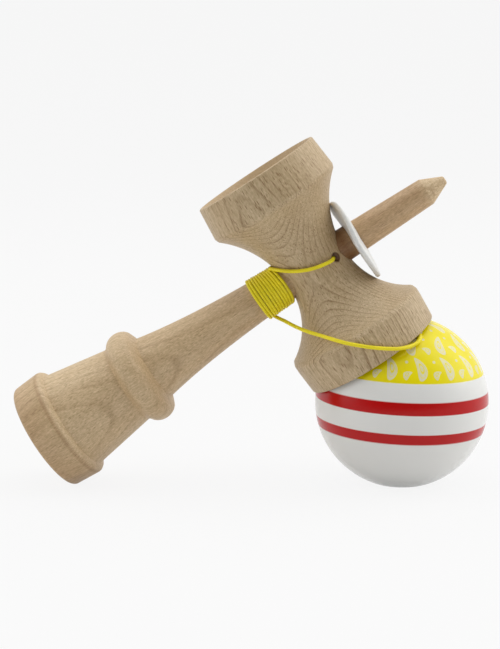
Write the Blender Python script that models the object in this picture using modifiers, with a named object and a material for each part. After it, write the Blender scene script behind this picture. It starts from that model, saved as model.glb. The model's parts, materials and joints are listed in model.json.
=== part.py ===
"""Wooden cup-and-ball toy: a turned handle with a spike, a two-cup cross piece, and a tethered ball.

The toy leans as it is set down after play. The ball stands on the flat ring round its spike hole, the
large cup rests on the ball, and the lip of the handle's base touches the table.
Units are metres, +Z is up, and the origin is under the middle of the toy on the table.
"""

import math

import bmesh
import bpy
from mathutils import Euler, Vector

# Ball
BALL_RADIUS = 0.030
FOOT_RADIUS = 0.0102
FOOT_INNER_RADIUS = 0.0092
SPIKE_BORE_RADIUS = 0.0082
SPIKE_BORE_BEVEL = 0.0022
SPIKE_BORE_DEPTH = 0.0395
SPIKE_BORE_CONE = 0.0025
STRING_HOLE_RADIUS = 0.0015
STRING_MOUTH_RADIUS = 0.0034
STRING_MOUTH_DEPTH = 0.0026
FOOT_HEIGHT_BELOW_CENTRE = math.sqrt(BALL_RADIUS**2 - FOOT_RADIUS**2)

# Where the ball sits, measured from the middle of the cross piece along the handle, away from the viewer
# and towards the small cup. The cord that passes under the rim keeps the ball a little to one side.
BALL_SEAT = Vector((-0.00067, 0.0006, -0.0570))

# Handle, with heights counted from the base along its axis
BASE_TO_CROSS = 0.1120
LIP_RADIUS = 0.01975
LIP_ROUND = 0.0016
LIP_FLAT = 0.0010
BASE_CUP_RADIUS = 0.0166
BASE_CUP_DEPTH = 0.0085
FOOT_BAND_RADIUS = 0.0203
FOOT_BAND_TOP = 0.0098
FOOT_BAND_ROUND = 0.0020
NECK_BASE = (0.01775, 0.0130)
NECK_TOP = (0.0140, 0.0355)
COLLAR_HEIGHT = 0.0403
COLLAR_INNER_RADIUS = 0.0133
COLLAR_RISE = 0.00385
COLLAR_HALF_WIDTH = 0.0048
COLLAR_ARC = 78
GRIP_START = 0.0457
GRIP_LEAST_RADIUS = 0.0050
GRIP_SWELL = 0.0067
GRIP_FADE = 0.0345
SPIKE_START = 0.1274
SPIKE_SHOULDER = (0.00495, 0.1566)
NOSE_START = (0.00462, 0.1578)
NOSE_ROUND = 0.0011
HANDLE_LENGTH = 0.1649

# Cross piece, with heights counted from its middle towards the small cup
WAIST_RADIUS = 0.0117
FLARE_RADIUS = 0.0310
SMALL_BAND_RADIUS = 0.02385
SMALL_RIM_RADIUS = 0.0228
SMALL_LIP_HEIGHT = 0.0370
SMALL_MOUTH_RADIUS = 0.0214
SMALL_CUP_DEPTH = 0.0122
LARGE_BAND_RADIUS = 0.0249
LARGE_RIM_RADIUS = 0.0243
LARGE_LIP_HEIGHT = 0.0372
LARGE_MOUTH_RADIUS = 0.0233
LARGE_CUP_DEPTH = 0.0135
LIP_LAND = 0.0004
SMALL_RIM_ROUND = 0.00056
BAND_EDGE = 0.0009
BORE_GAP = 0.0003
CORD_HOLE_RADIUS = 0.0012
CORD_HOLE_PLACE = (0.0079, -0.0010)

# Pocket in the tenon that hides the knot at the start of the cord
POCKET_RADIUS = 0.0020
POCKET_FLOOR = -0.0015
ANCHOR_KNOT_RADIUS = 0.00165
ANCHOR_KNOT_DEPTH = -0.0036

# Soft washer on the spike
WASHER_PLACE = 0.0157
WASHER_RADIUS = 0.0146
WASHER_HOLE_RADIUS = 0.0060
WASHER_HUB = 0.0030
WASHER_BACK = 0.0012
WASHER_RIM = 0.0013
WASHER_DOME_POWER = 1.6

# Cord, bead and stopper knot
CORD_DIAMETER = 0.0013
CORD_GAP = 0.0003
CORD_END_GAP = 2 * CORD_GAP
POINT_SPACING = 2 * CORD_DIAMETER
WINDING_FIRST = -0.0136
WINDING_LAST = -0.0230
WINDING_TURNS = 5.5
POINTS_PER_TURN = 24
BALL_CORD_TOP = 0.0022
BEAD_RADIUS = 0.0045
BEAD_HEIGHT_OVERALL = 0.0066
BEAD_HOLE_RADIUS = 0.0009
BEAD_END_RADIUS = 0.0024
STOPPER_KNOT_RADIUS = 0.0019
STOPPER_KNOT_HALF_HEIGHT = 0.0015
KNOT_PINCH = 0.12

# Bend of the cord over the mouth of the ball's hole, and the side of the ball's axis that it comes from
BALL_BEND_RADIUS = 0.0028
BALL_BEND_HEIGHT = 0.02835
BALL_BEND_FROM = math.radians(-79)
BALL_BEND_POINTS = 5

# Route of the cord from the pocket to the winding: along the handle, away from the viewer, to the small cup
LEAD_ROUTE = [
    (0.0079, -0.0056, -0.0010), (0.0079, -0.0074, -0.0010), (0.0078, -0.0092, -0.0010),
    (0.0072, -0.0106, -0.0011), (0.0058, -0.0117, -0.0009), (0.0038, -0.0124, -0.0006),
    (0.0012, -0.0127, -0.0001), (-0.0022, -0.0125, 0.0009), (-0.0054, -0.0116, 0.0023),
    (-0.0083, -0.0099, 0.0039), (-0.0109, -0.0075, 0.0056), (-0.0128, -0.0045, 0.0069),
    (-0.0135, -0.0029, 0.0073),
]

# Route from the winding over the large flare and under the rim to the top of the ball
TAIL_ROUTE = [
    (-0.0229, -0.0030, -0.0080), (-0.0207, -0.0046, -0.0093), (-0.0182, -0.0071, -0.0120),
    (-0.0159, -0.0101, -0.0145), (-0.0135, -0.0133, -0.0168), (-0.0110, -0.0166, -0.0190),
    (-0.0086, -0.0199, -0.0211), (-0.0062, -0.0232, -0.0232), (-0.0038, -0.0255, -0.0253),
    (-0.0013, -0.0259, -0.0276), (0.0011, -0.0258, -0.0298), (0.0037, -0.0254, -0.0320),
    (0.0063, -0.0247, -0.0341), (0.0091, -0.0238, -0.0361), (0.0113, -0.0225, -0.0373),
    (0.0136, -0.0204, -0.0384), (0.0156, -0.0186, -0.0387), (0.0171, -0.0165, -0.0382),
    (0.0173, -0.0146, -0.0372), (0.0173, -0.0135, -0.0363), (0.0171, -0.0094, -0.0338),
    (0.0168, -0.0057, -0.0321), (0.0167, -0.0038, -0.0315),
]

# Facets: steps round a turned piece, and rows along a profile
TURNED_STEPS = 48
HANDLE_STEPS = 40
SMALL_STEPS = 24
KNOT_STEPS = 16
SPIKE_ROWS = 3
GRIP_ROWS = 14
COLLAR_ROWS = 8
FLARE_ROWS = 9
DISH_ROWS = 7
BORE_ROWS = 6
WASHER_ROWS = 5
KNOT_ROWS = 8
CURVE_PARTS = 16
CORD_SIDES = 2
WINDING_SIDES = 1

# Colours of the finishes, and how rough each is
BEECH = (0.56, 0.42, 0.26)
BEECH_CUPS = (0.54, 0.41, 0.26)
LACQUER = (0.80, 0.80, 0.78)
WHITE_PLASTIC = (0.84, 0.84, 0.82)
YELLOW_CORD = (0.68, 0.55, 0.03)
BEAD_WOOD = (0.50, 0.34, 0.18)
WOOD_ROUGHNESS = 0.55
LACQUER_ROUGHNESS = 0.15
PLASTIC_ROUGHNESS = 0.5
CORD_ROUGHNESS = 0.8


def lean_angle():
    """Angle of the handle above the table when the base lip and the ball both touch it."""
    across = -BALL_SEAT.z - (LIP_RADIUS - LIP_ROUND)
    along = BASE_TO_CROSS - LIP_ROUND + BALL_SEAT.x
    drop = FOOT_HEIGHT_BELOW_CENTRE - LIP_ROUND
    return math.atan2(across, along) + math.asin(drop / math.hypot(across, along))


LEAN = lean_angle()
LEAN_TURN = Euler((0.0, -LEAN, 0.0)).to_matrix()

# Turns that lay a turned piece's axis along the handle or point it at the viewer
ALONG_HANDLE = (0.0, math.pi / 2, 0.0)
TOWARDS_VIEWER = (math.pi / 2, 0.0, 0.0)


def cross_centre_from_ball():
    """Middle of the cross piece, counted from the point of the table under the ball's centre."""
    return Vector((0.0, 0.0, FOOT_HEIGHT_BELOW_CENTRE)) - LEAN_TURN @ BALL_SEAT


def ball_x():
    """Place of the ball along X that centres the toy's box on the origin."""
    along = (BASE_TO_CROSS - LIP_ROUND) * math.cos(LEAN)
    across = (LIP_RADIUS - LIP_ROUND) * math.sin(LEAN)
    farthest_left = cross_centre_from_ball().x - along - across - LIP_ROUND
    return -(farthest_left + BALL_RADIUS) / 2


def arc(centre, radii, start, end, steps):
    """Points (radius, height) of an elliptical arc between two angles in degrees, both ends included."""
    points = []
    for i in range(steps + 1):
        angle = math.radians(start + (end - start) * i / steps)
        points.append((centre[0] + radii[0] * math.cos(angle), centre[1] + radii[1] * math.sin(angle)))
    return points


def dish(mouth_radius, mouth_height, bottom_height, steps):
    """Points of a spherical hollow from its bottom on the axis to its mouth."""
    depth = mouth_height - bottom_height
    radius = (mouth_radius**2 + depth**2) / (2 * abs(depth))
    centre = bottom_height + math.copysign(radius, depth)
    points = []
    for i in range(steps + 1):
        angle = math.asin(mouth_radius / radius) * i / steps
        points.append((radius * math.sin(angle), centre - math.copysign(radius, depth) * math.cos(angle)))
    return points


def flare(band_radius, side, steps):
    """Points of the hollow flare from the waist to the edge of a cup's band, on one side of the waist."""
    rise = band_radius - WAIST_RADIUS
    reach = math.sqrt(FLARE_RADIUS**2 - (FLARE_RADIUS - rise) ** 2)
    points = []
    for i in range(steps + 1):
        angle = math.asin(reach / FLARE_RADIUS) * i / steps
        radius = WAIST_RADIUS + FLARE_RADIUS * (1 - math.cos(angle))
        points.append((radius, side * FLARE_RADIUS * math.sin(angle)))
    return points


def grip_radius(height):
    """Radius of the grip and of the tenon at a height above the base."""
    return GRIP_LEAST_RADIUS + GRIP_SWELL * math.exp(-(height - GRIP_START) / GRIP_FADE)


def smooth_route(route, spacing):
    """Even points on a smooth curve through the given points."""
    knots = [Vector(point) for point in route]
    ends = [2 * knots[0] - knots[1]] + knots + [2 * knots[-1] - knots[-2]]
    fine = []
    for i in range(1, len(ends) - 2):
        before, start, stop, after = ends[i - 1 : i + 3]
        for j in range(CURVE_PARTS):
            t = j / CURVE_PARTS
            fine.append(
                0.5 * (2 * start + (stop - before) * t + (2 * before - 5 * start + 4 * stop - after) * t**2
                       + (3 * start - before - 3 * stop + after) * t**3)
            )
    fine.append(knots[-1])
    lengths = [0.0]
    for a, b in zip(fine, fine[1:]):
        lengths.append(lengths[-1] + (b - a).length)
    count = max(2, round(lengths[-1] / spacing))
    even = []
    place = 0
    for i in range(count + 1):
        wanted = lengths[-1] * i / count
        while place < len(fine) - 2 and lengths[place + 1] < wanted:
            place += 1
        share = (wanted - lengths[place]) / (lengths[place + 1] - lengths[place])
        even.append(fine[place].lerp(fine[place + 1], min(share, 1.0)))
    return even


def finish(name, colour, roughness):
    """A plain shader in the piece's own colour."""
    material = bpy.data.materials.new(name)
    material.use_nodes = True
    shader = material.node_tree.nodes["Principled BSDF"]
    shader.inputs["Base Color"].default_value = (*colour, 1.0)
    shader.inputs["Roughness"].default_value = roughness
    shader.inputs["Metallic"].default_value = 0.0
    return material


def place(obj, collection, material=None, parent=None, location=(0, 0, 0), rotation=(0, 0, 0)):
    """Puts an object in its collection and its place, under an empty where one is given."""
    collection.objects.link(obj)
    if material:
        obj.data.materials.append(material)
    obj.parent = parent
    obj.location = location
    obj.rotation_euler = rotation
    return obj


def turned(name, profile, steps, ring=False):
    """A turned solid: a profile at +X, top to bottom down its outer side, swept round Z."""
    mesh = bpy.data.meshes.new(name)
    shape = bmesh.new()
    verts = [shape.verts.new((radius, 0.0, height)) for radius, height in profile]
    for a, b in zip(verts, verts[1:]):
        shape.edges.new((a, b))
    if ring:
        shape.edges.new((verts[-1], verts[0]))
    shape.to_mesh(mesh)
    shape.free()
    obj = bpy.data.objects.new(name, mesh)
    screw = obj.modifiers.new("turn", "SCREW")
    screw.axis = "Z"
    screw.angle = math.tau
    screw.steps = steps
    screw.render_steps = steps
    screw.use_merge_vertices = True
    screw.merge_threshold = 0.00001
    screw.use_smooth_shade = True
    return obj


def cord_tube(name, points, resolution):
    """A round tube along the given points, closed at both ends."""
    curve = bpy.data.curves.new(name, "CURVE")
    curve.dimensions = "3D"
    curve.bevel_depth = CORD_DIAMETER / 2
    curve.bevel_resolution = resolution
    curve.use_fill_caps = True
    spline = curve.splines.new("POLY")
    spline.points.add(len(points) - 1)
    for point, place_on_route in zip(spline.points, points):
        point.co = (*place_on_route, 1.0)
    spline.use_smooth = True
    return bpy.data.objects.new(name, curve)


def cut(target, cutter):
    """Takes the cutter's shape out of the target."""
    boolean = target.modifiers.new(cutter.name, "BOOLEAN")
    boolean.operation = "DIFFERENCE"
    boolean.solver = "EXACT"
    boolean.object = cutter
    cutter.hide_render = True
    cutter.display_type = "WIRE"


def handle_profile():
    """Outline of the handle from the nose of the spike down to the cup in its base."""
    nose_centre = HANDLE_LENGTH - NOSE_ROUND
    profile = [(0.0, HANDLE_LENGTH)]
    profile += arc((0.0, nose_centre), (NOSE_ROUND, NOSE_ROUND), 60, 20, 2)
    profile.append(NOSE_START)
    profile.append(SPIKE_SHOULDER)
    thick = grip_radius(SPIKE_START)
    for i in range(1, SPIKE_ROWS + 1):
        share = i / SPIKE_ROWS
        height = SPIKE_SHOULDER[1] + (SPIKE_START - SPIKE_SHOULDER[1]) * share
        profile.append((SPIKE_SHOULDER[0] + (thick - SPIKE_SHOULDER[0]) * share, height))
    for i in range(1, GRIP_ROWS + 1):
        height = SPIKE_START + (GRIP_START - SPIKE_START) * i / GRIP_ROWS
        profile.append((grip_radius(height), height))
    collar = (COLLAR_INNER_RADIUS, COLLAR_HEIGHT)
    profile += arc(collar, (COLLAR_RISE, COLLAR_HALF_WIDTH), COLLAR_ARC, -COLLAR_ARC, COLLAR_ROWS)
    profile.append(NECK_TOP)
    profile.append(NECK_BASE)
    band_centre = (FOOT_BAND_RADIUS - FOOT_BAND_ROUND, FOOT_BAND_TOP)
    profile += arc(band_centre, (FOOT_BAND_ROUND, FOOT_BAND_ROUND), 90, 0, 4)
    lip_centre = (LIP_RADIUS - LIP_ROUND, LIP_ROUND)
    profile += arc(lip_centre, (LIP_ROUND, LIP_ROUND), 0, -90, 5)
    profile.append((LIP_RADIUS - LIP_ROUND - LIP_FLAT, 0.0))
    profile += reversed(dish(BASE_CUP_RADIUS, LIP_FLAT / 2, BASE_CUP_DEPTH, DISH_ROWS))
    return profile


def cross_piece_profile():
    """Outline of the cross piece from the small cup's bottom, over the waist, to the large cup's bottom."""
    small_bottom = SMALL_LIP_HEIGHT - SMALL_CUP_DEPTH
    large_bottom = LARGE_CUP_DEPTH - LARGE_LIP_HEIGHT
    small_flare = flare(SMALL_BAND_RADIUS - BAND_EDGE / 2, 1, FLARE_ROWS)
    large_flare = flare(LARGE_BAND_RADIUS - BAND_EDGE / 2, -1, FLARE_ROWS)
    small_corner = small_flare[-1][1]
    large_corner = large_flare[-1][1]
    profile = dish(SMALL_MOUTH_RADIUS, SMALL_LIP_HEIGHT - LIP_LAND, small_bottom, DISH_ROWS)
    profile += [
        (SMALL_MOUTH_RADIUS + LIP_LAND / 2, SMALL_LIP_HEIGHT),
        (SMALL_RIM_RADIUS - SMALL_RIM_ROUND, SMALL_LIP_HEIGHT),
        (SMALL_RIM_RADIUS - LIP_LAND / 2, SMALL_LIP_HEIGHT - LIP_LAND / 2),
        (SMALL_RIM_RADIUS, SMALL_LIP_HEIGHT - 2 * LIP_LAND),
        (SMALL_BAND_RADIUS, small_corner + 2 * BAND_EDGE),
        (SMALL_BAND_RADIUS, small_corner + BAND_EDGE),
    ]
    profile += reversed(small_flare)
    profile += large_flare[1:]
    profile += [
        (LARGE_BAND_RADIUS, large_corner - BAND_EDGE),
        (LARGE_BAND_RADIUS, large_corner - 4 * BAND_EDGE),
        (LARGE_RIM_RADIUS, -LARGE_LIP_HEIGHT + 2 * LIP_LAND),
        (LARGE_RIM_RADIUS - LIP_LAND / 2, -LARGE_LIP_HEIGHT + LIP_LAND / 2),
        (LARGE_RIM_RADIUS - LIP_LAND, -LARGE_LIP_HEIGHT),
    ]
    profile += reversed(dish(LARGE_MOUTH_RADIUS, LIP_LAND - LARGE_LIP_HEIGHT, large_bottom, DISH_ROWS))
    return profile


def ball_profile():
    """Outline of the ball, round from the cord's hole over the outside, the foot ring and the spike hole."""
    centre = FOOT_HEIGHT_BELOW_CENTRE
    mouth_angle = math.degrees(math.acos(STRING_MOUTH_RADIUS / BALL_RADIUS))
    foot_angle = -math.degrees(math.acos(FOOT_RADIUS / BALL_RADIUS))
    top = centre + BALL_RADIUS
    profile = [(STRING_HOLE_RADIUS, top - STRING_MOUTH_DEPTH)]
    profile += arc((0.0, centre), (BALL_RADIUS, BALL_RADIUS), mouth_angle, 0, 12)
    profile += arc((0.0, centre), (BALL_RADIUS, BALL_RADIUS), 0, foot_angle, 10)[1:]
    profile += [
        (FOOT_INNER_RADIUS, 0.0),
        (SPIKE_BORE_RADIUS, SPIKE_BORE_BEVEL),
        (SPIKE_BORE_RADIUS, SPIKE_BORE_DEPTH),
        (STRING_HOLE_RADIUS, SPIKE_BORE_DEPTH + SPIKE_BORE_CONE),
    ]
    return profile


def washer_profile():
    """Outline of the soft washer: domed towards the spike's tip, and less so towards the cross piece."""
    tip_side, back_side = [], []
    for i in range(WASHER_ROWS + 1):
        share = (i / WASHER_ROWS) ** WASHER_DOME_POWER
        radius = WASHER_HOLE_RADIUS + (WASHER_RADIUS - WASHER_HOLE_RADIUS) * i / WASHER_ROWS
        tip_side.append((radius, WASHER_HUB + (WASHER_RIM - WASHER_HUB) * share))
        back_side.append((radius, WASHER_BACK * (share - 1)))
    rim = (WASHER_RADIUS + WASHER_RIM / 4, WASHER_RIM / 2)
    return tip_side + [rim] + back_side[::-1]


def winding_points():
    """Points of the cord wound on the grip, with a straight diameter at each end, and its least gap."""
    points = []
    total = round(WINDING_TURNS * POINTS_PER_TURN)
    for i in range(total + 1):
        share = i / total
        along = WINDING_FIRST + (WINDING_LAST - WINDING_FIRST) * share
        radius = grip_radius(BASE_TO_CROSS + along) + CORD_DIAMETER / 2 + CORD_GAP
        angle = math.tau * WINDING_TURNS * share
        points.append(Vector((along, radius * math.sin(angle), radius * math.cos(angle))))
    gap = min(
        (points[i] - points[j]).length - CORD_DIAMETER
        for i in range(len(points))
        for j in range(i + POINTS_PER_TURN // 2, len(points))
    )
    towards_viewer = Vector((0.0, -CORD_DIAMETER, 0.0))
    return [points[0] + towards_viewer] + points + [points[-1] + towards_viewer], gap


def into_ball():
    """Points of the cord's bend over the mouth of the ball's hole and down into it, in the handle's frame."""
    to_handle = LEAN_TURN.transposed()
    sideways = Vector((math.cos(BALL_BEND_FROM), math.sin(BALL_BEND_FROM), 0.0))
    points = []
    for i in range(BALL_BEND_POINTS):
        angle = math.pi / 2 * i / BALL_BEND_POINTS
        out = BALL_BEND_RADIUS * (1 - math.sin(angle))
        height = BALL_BEND_HEIGHT + BALL_BEND_RADIUS * math.cos(angle)
        points.append(BALL_SEAT + to_handle @ (sideways * out + Vector((0.0, 0.0, height))))
    end = Vector((0.0, 0.0, BALL_RADIUS - BALL_CORD_TOP + CORD_END_GAP))
    return points + [BALL_SEAT + to_handle @ end]


def knot_profile(radius, half_height):
    """Outline of a small tight knot: a rounded lump drawn in at its two ends."""
    profile = []
    for i in range(KNOT_ROWS + 1):
        angle = math.pi * i / KNOT_ROWS
        pinch = 1.0 - KNOT_PINCH * math.cos(2 * angle) ** 2
        profile.append((radius * pinch * math.sin(angle), half_height * math.cos(angle)))
    return profile


def bead_profile():
    """Outline of the bead that holds the cord in the ball: a bored sphere with flattened ends."""
    half = BEAD_HEIGHT_OVERALL / 2
    start = math.degrees(math.acos(BEAD_END_RADIUS / BEAD_RADIUS))
    stretch = half / math.sin(math.radians(start))
    side = arc((0.0, 0.0), (BEAD_RADIUS, stretch), start, -start, 8)
    return [(BEAD_HOLE_RADIUS, half)] + side + [(BEAD_HOLE_RADIUS, -half)]


def clear_scene():
    """Removes whatever the file held."""
    for obj in list(bpy.data.objects):
        bpy.data.objects.remove(obj, do_unlink=True)


def empty(name, collection, location, rotation=(0, 0, 0)):
    """An axis that pieces are placed on."""
    obj = bpy.data.objects.new(name, None)
    obj.empty_display_size = BALL_RADIUS
    return place(obj, collection, location=location, rotation=rotation)


def make_handle(parts, cutters, frame):
    """The turned handle, with a pocket in its tenon for the cord's first knot."""
    handle = turned("handle", handle_profile(), HANDLE_STEPS)
    beech = finish("oiled_beech", BEECH, WOOD_ROUGHNESS)
    place(handle, parts, beech, frame, (-BASE_TO_CROSS, 0, 0), ALONG_HANDLE)
    depth = grip_radius(BASE_TO_CROSS) + POCKET_RADIUS + POCKET_FLOOR
    pocket_profile = [(0, depth), (POCKET_RADIUS, depth), (POCKET_RADIUS, 0), (0, 0)]
    pocket = turned("knot_pocket", pocket_profile, SMALL_STEPS)
    along, across = CORD_HOLE_PLACE
    place(pocket, cutters, None, frame, (along, POCKET_FLOOR, across), TOWARDS_VIEWER)
    cut(handle, pocket)


def make_cross_piece(parts, cutters, frame):
    """The cross piece with its two cups, bored across for the tapered tenon and drilled for the cord."""
    cross = turned("cup_crosspiece", cross_piece_profile(), TURNED_STEPS)
    place(cross, parts, finish("beech_cups", BEECH_CUPS, WOOD_ROUGHNESS), frame)
    reach = LARGE_BAND_RADIUS
    bore_profile = [(0.0, reach)]
    for i in range(BORE_ROWS + 1):
        height = reach - 2 * reach * i / BORE_ROWS
        bore_profile.append((grip_radius(BASE_TO_CROSS + height) + BORE_GAP, height))
    bore_profile.append((0.0, -reach))
    bore = turned("tenon_bore", bore_profile, HANDLE_STEPS)
    place(bore, cutters, None, frame, (0, 0, 0), ALONG_HANDLE)
    cut(cross, bore)
    depth = WAIST_RADIUS
    hole_profile = [(0, depth), (CORD_HOLE_RADIUS, depth), (CORD_HOLE_RADIUS, 0), (0, 0)]
    hole = turned("cord_hole", hole_profile, KNOT_STEPS)
    along, across = CORD_HOLE_PLACE
    place(hole, cutters, None, frame, (along, -POCKET_RADIUS, across), TOWARDS_VIEWER)
    cut(cross, hole)


def make_washer(parts, frame):
    """The soft washer, pushed down the spike onto the flares."""
    washer = turned("spike_washer", washer_profile(), HANDLE_STEPS, ring=True)
    white = finish("soft_white", WHITE_PLASTIC, PLASTIC_ROUGHNESS)
    place(washer, parts, white, frame, (WASHER_PLACE, 0, 0), ALONG_HANDLE)


def make_ball(parts, axis):
    """The ball, bored for the spike from below and for the cord from above."""
    ball = turned("ball", ball_profile(), TURNED_STEPS, ring=True)
    place(ball, parts, finish("ball_lacquer", LACQUER, LACQUER_ROUGHNESS), axis)


def make_cord(parts, frame, axis):
    """The cord in its four stretches, its two knots and the bead that stops it in the ball."""
    cord = finish("yellow_cord", YELLOW_CORD, CORD_ROUGHNESS)
    along, across = CORD_HOLE_PLACE
    anchor = turned("anchor_knot", knot_profile(ANCHOR_KNOT_RADIUS, ANCHOR_KNOT_RADIUS), KNOT_STEPS)
    place(anchor, parts, cord, frame, (along, ANCHOR_KNOT_DEPTH, across), TOWARDS_VIEWER)
    points, gap = winding_points()
    print(f"least gap between turns of the winding: {gap * 1000:.2f} mm")
    apart = Vector((0.0, -CORD_END_GAP, 0.0))
    lead = smooth_route(LEAD_ROUTE + [points[0] + apart], POINT_SPACING)
    tail = smooth_route([points[-1] + apart] + TAIL_ROUTE + into_ball(), POINT_SPACING)
    place(cord_tube("cord_lead", lead, CORD_SIDES), parts, cord, frame)
    place(cord_tube("cord_winding", points, WINDING_SIDES), parts, cord, frame)
    place(cord_tube("cord_tail", tail, CORD_SIDES), parts, cord, frame)
    top = FOOT_HEIGHT_BELOW_CENTRE + BALL_RADIUS - BALL_CORD_TOP
    bead_top = SPIKE_BORE_DEPTH - CORD_GAP
    knot_top = bead_top - BEAD_HEIGHT_OVERALL - CORD_GAP
    inside = [(0, 0, top), (0, 0, knot_top + CORD_GAP)]
    place(cord_tube("cord_in_ball", inside, CORD_SIDES), parts, cord, axis)
    bead = turned("ball_bead", bead_profile(), SMALL_STEPS, ring=True)
    bead_middle = bead_top - BEAD_HEIGHT_OVERALL / 2
    place(bead, parts, finish("bead_wood", BEAD_WOOD, WOOD_ROUGHNESS), axis, (0, 0, bead_middle))
    knot = turned("stopper_knot", knot_profile(STOPPER_KNOT_RADIUS, STOPPER_KNOT_HALF_HEIGHT), KNOT_STEPS)
    place(knot, parts, cord, axis, (0, 0, knot_top - STOPPER_KNOT_HALF_HEIGHT))


def main():
    """Builds every piece in the two frames: the leaning handle's and the ball's."""
    clear_scene()
    scene = bpy.context.scene.collection
    parts = bpy.data.collections.new("cup_and_ball_toy")
    cutters = bpy.data.collections.new("cutters")
    scene.children.link(parts)
    scene.children.link(cutters)
    under_ball = Vector((ball_x(), 0.0, 0.0))
    frame = empty("handle_frame", parts, under_ball + cross_centre_from_ball(), (0.0, -LEAN, 0.0))
    axis = empty("ball_axis", parts, under_ball)
    make_handle(parts, cutters, frame)
    make_cross_piece(parts, cutters, frame)
    make_washer(parts, frame)
    make_ball(parts, axis)
    make_cord(parts, frame, axis)
    bpy.context.view_layer.update()


if __name__ == "__main__":
    main()
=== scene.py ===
"""Looks of a wooden cup-and-ball toy: turned beech, a lacquered ball, a wound cord and a plain studio.

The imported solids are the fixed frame. Each visible piece is modelled here in fine detail in the place of its
solid, and the camera stands where the photograph was taken from. Units are metres and +Z is up.
"""

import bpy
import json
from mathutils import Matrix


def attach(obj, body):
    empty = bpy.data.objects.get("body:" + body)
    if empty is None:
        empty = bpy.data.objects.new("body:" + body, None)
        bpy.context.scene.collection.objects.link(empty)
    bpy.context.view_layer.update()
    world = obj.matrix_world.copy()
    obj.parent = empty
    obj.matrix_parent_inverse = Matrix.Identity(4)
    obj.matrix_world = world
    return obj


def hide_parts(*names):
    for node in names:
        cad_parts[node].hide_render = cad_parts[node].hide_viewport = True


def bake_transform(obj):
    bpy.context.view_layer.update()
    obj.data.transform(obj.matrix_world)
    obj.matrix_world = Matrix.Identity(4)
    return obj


bl_info = {
    "name": "Cup-and-ball toy",
    "version": (1, 0, 0),
    "blender": (4, 5, 0),
    "location": "View3D > Sidebar > Toy",
    "description": "Dresses the packed cup-and-ball toy in beech, lacquer and cord, and lights it",
    "category": "Object",
}

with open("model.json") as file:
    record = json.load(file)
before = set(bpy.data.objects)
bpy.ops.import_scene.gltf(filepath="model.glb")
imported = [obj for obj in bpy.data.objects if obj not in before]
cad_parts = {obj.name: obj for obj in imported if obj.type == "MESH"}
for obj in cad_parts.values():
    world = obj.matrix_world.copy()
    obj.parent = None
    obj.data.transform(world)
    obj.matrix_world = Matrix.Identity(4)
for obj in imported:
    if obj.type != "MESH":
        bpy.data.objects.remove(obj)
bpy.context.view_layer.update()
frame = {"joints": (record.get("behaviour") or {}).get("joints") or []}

import json
from collections import namedtuple
from functools import partial
from math import acos, asin, copysign, cos, degrees, exp, pi, radians, sin, sqrt, tan, tau

import bmesh
import bpy
from bpy.props import FloatProperty, FloatVectorProperty, IntProperty, PointerProperty
from mathutils import Matrix, Vector

# Axes of the toy, read from the frame's joints: along the handle to its tip, towards the small cup, and away
JOINTS = {joint["name"]: joint for joint in frame["joints"]}
TO_TIP = Vector(JOINTS["washer_slide"]["axis"]).normalized()
TO_SMALL_CUP = Vector(JOINTS["handle_lift"]["axis"]).normalized()
AWAY = TO_SMALL_CUP.cross(TO_TIP)
AXES = Matrix((TO_TIP, AWAY, TO_SMALL_CUP)).transposed()
BALL_CENTRE = Vector(JOINTS["ball_spin"]["pos_m"])
BALL_SEAT = Vector((-0.00067, 0.0006, -0.057))
CUP_FRAME = Matrix.Translation(BALL_CENTRE - AXES @ BALL_SEAT) @ AXES.to_4x4()
LATHE_TO_TIP = Matrix.Rotation(pi / 2, 4, "Y")

# Handle, with heights counted from its base
BASE_TO_CROSS = 0.112
HANDLE_LENGTH = 0.1649
NOSE_FLAT_RADIUS = 0.0013
NOSE_SHOULDER = (0.00482, 0.1573)
NOSE_ROUND = 0.001
SHOULDER_ROUND = 0.0009
SPIKE_START = 0.1274
GRIP_START = 0.0457
GRIP_LEAST_RADIUS = 0.005
GRIP_SWELL = 0.0067
GRIP_FADE = 0.0345
COLLAR_HEIGHT = 0.0403
COLLAR_INNER_RADIUS = 0.0133
COLLAR_RISE = 0.00385
COLLAR_HALF_WIDTH = 0.0048
COLLAR_FILLET = 0.0018
NECK_BASE = (0.01775, 0.013)
NECK_TOP = (0.014, 0.0355)
FOOT_BAND_RADIUS = 0.0203
FOOT_BAND_TOP = 0.0098
FOOT_BAND_ROUND = 0.002
FOOT_FILLET = 0.0005
LIP_RADIUS = 0.01975
LIP_ROUND = 0.0016
LIP_FLAT = 0.001
BASE_CUP_RADIUS = 0.0166
BASE_CUP_DEPTH = 0.0085
POCKET_RADIUS = 0.002
POCKET_FLOOR = 0.0015

# Cross piece, with heights counted from its middle towards the small cup. A cup has its mouth's radius, its
# depth, the height where its flare ends, the corner (radius, height) of its rim and the corners of its band
Cup = namedtuple("Cup", "mouth depth flare_end rim band")
SMALL_CUP = Cup(0.0214, 0.0122, 0.0242, (0.0228, 0.037), [(0.02385, 0.0256)])
LARGE_CUP = Cup(0.0233, 0.0135, -0.0249, (0.0243, -0.0372), [(0.0249, -0.0286), (0.0249, -0.0262)])
WAIST_RADIUS = 0.0114
WAIST_HEIGHT = -0.002
BAND_EDGE_ROUND = 0.0011
RIM_ROUND = 0.0006
MOUTH_ROUND = 0.0003
BORE_GAP = 0.0001
CORD_HOLE_RADIUS = 0.00085
CORD_HOLE_PLACE = (0.0068, -0.001)
WORN_RADIUS = 0.0012
WORN_DEPTH = 0.0009
WORN_KNEE = 0.8
WORN_STRETCH = (1.0, 1.4)
WORN_PLACE = (0.0078, -0.0011)

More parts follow.
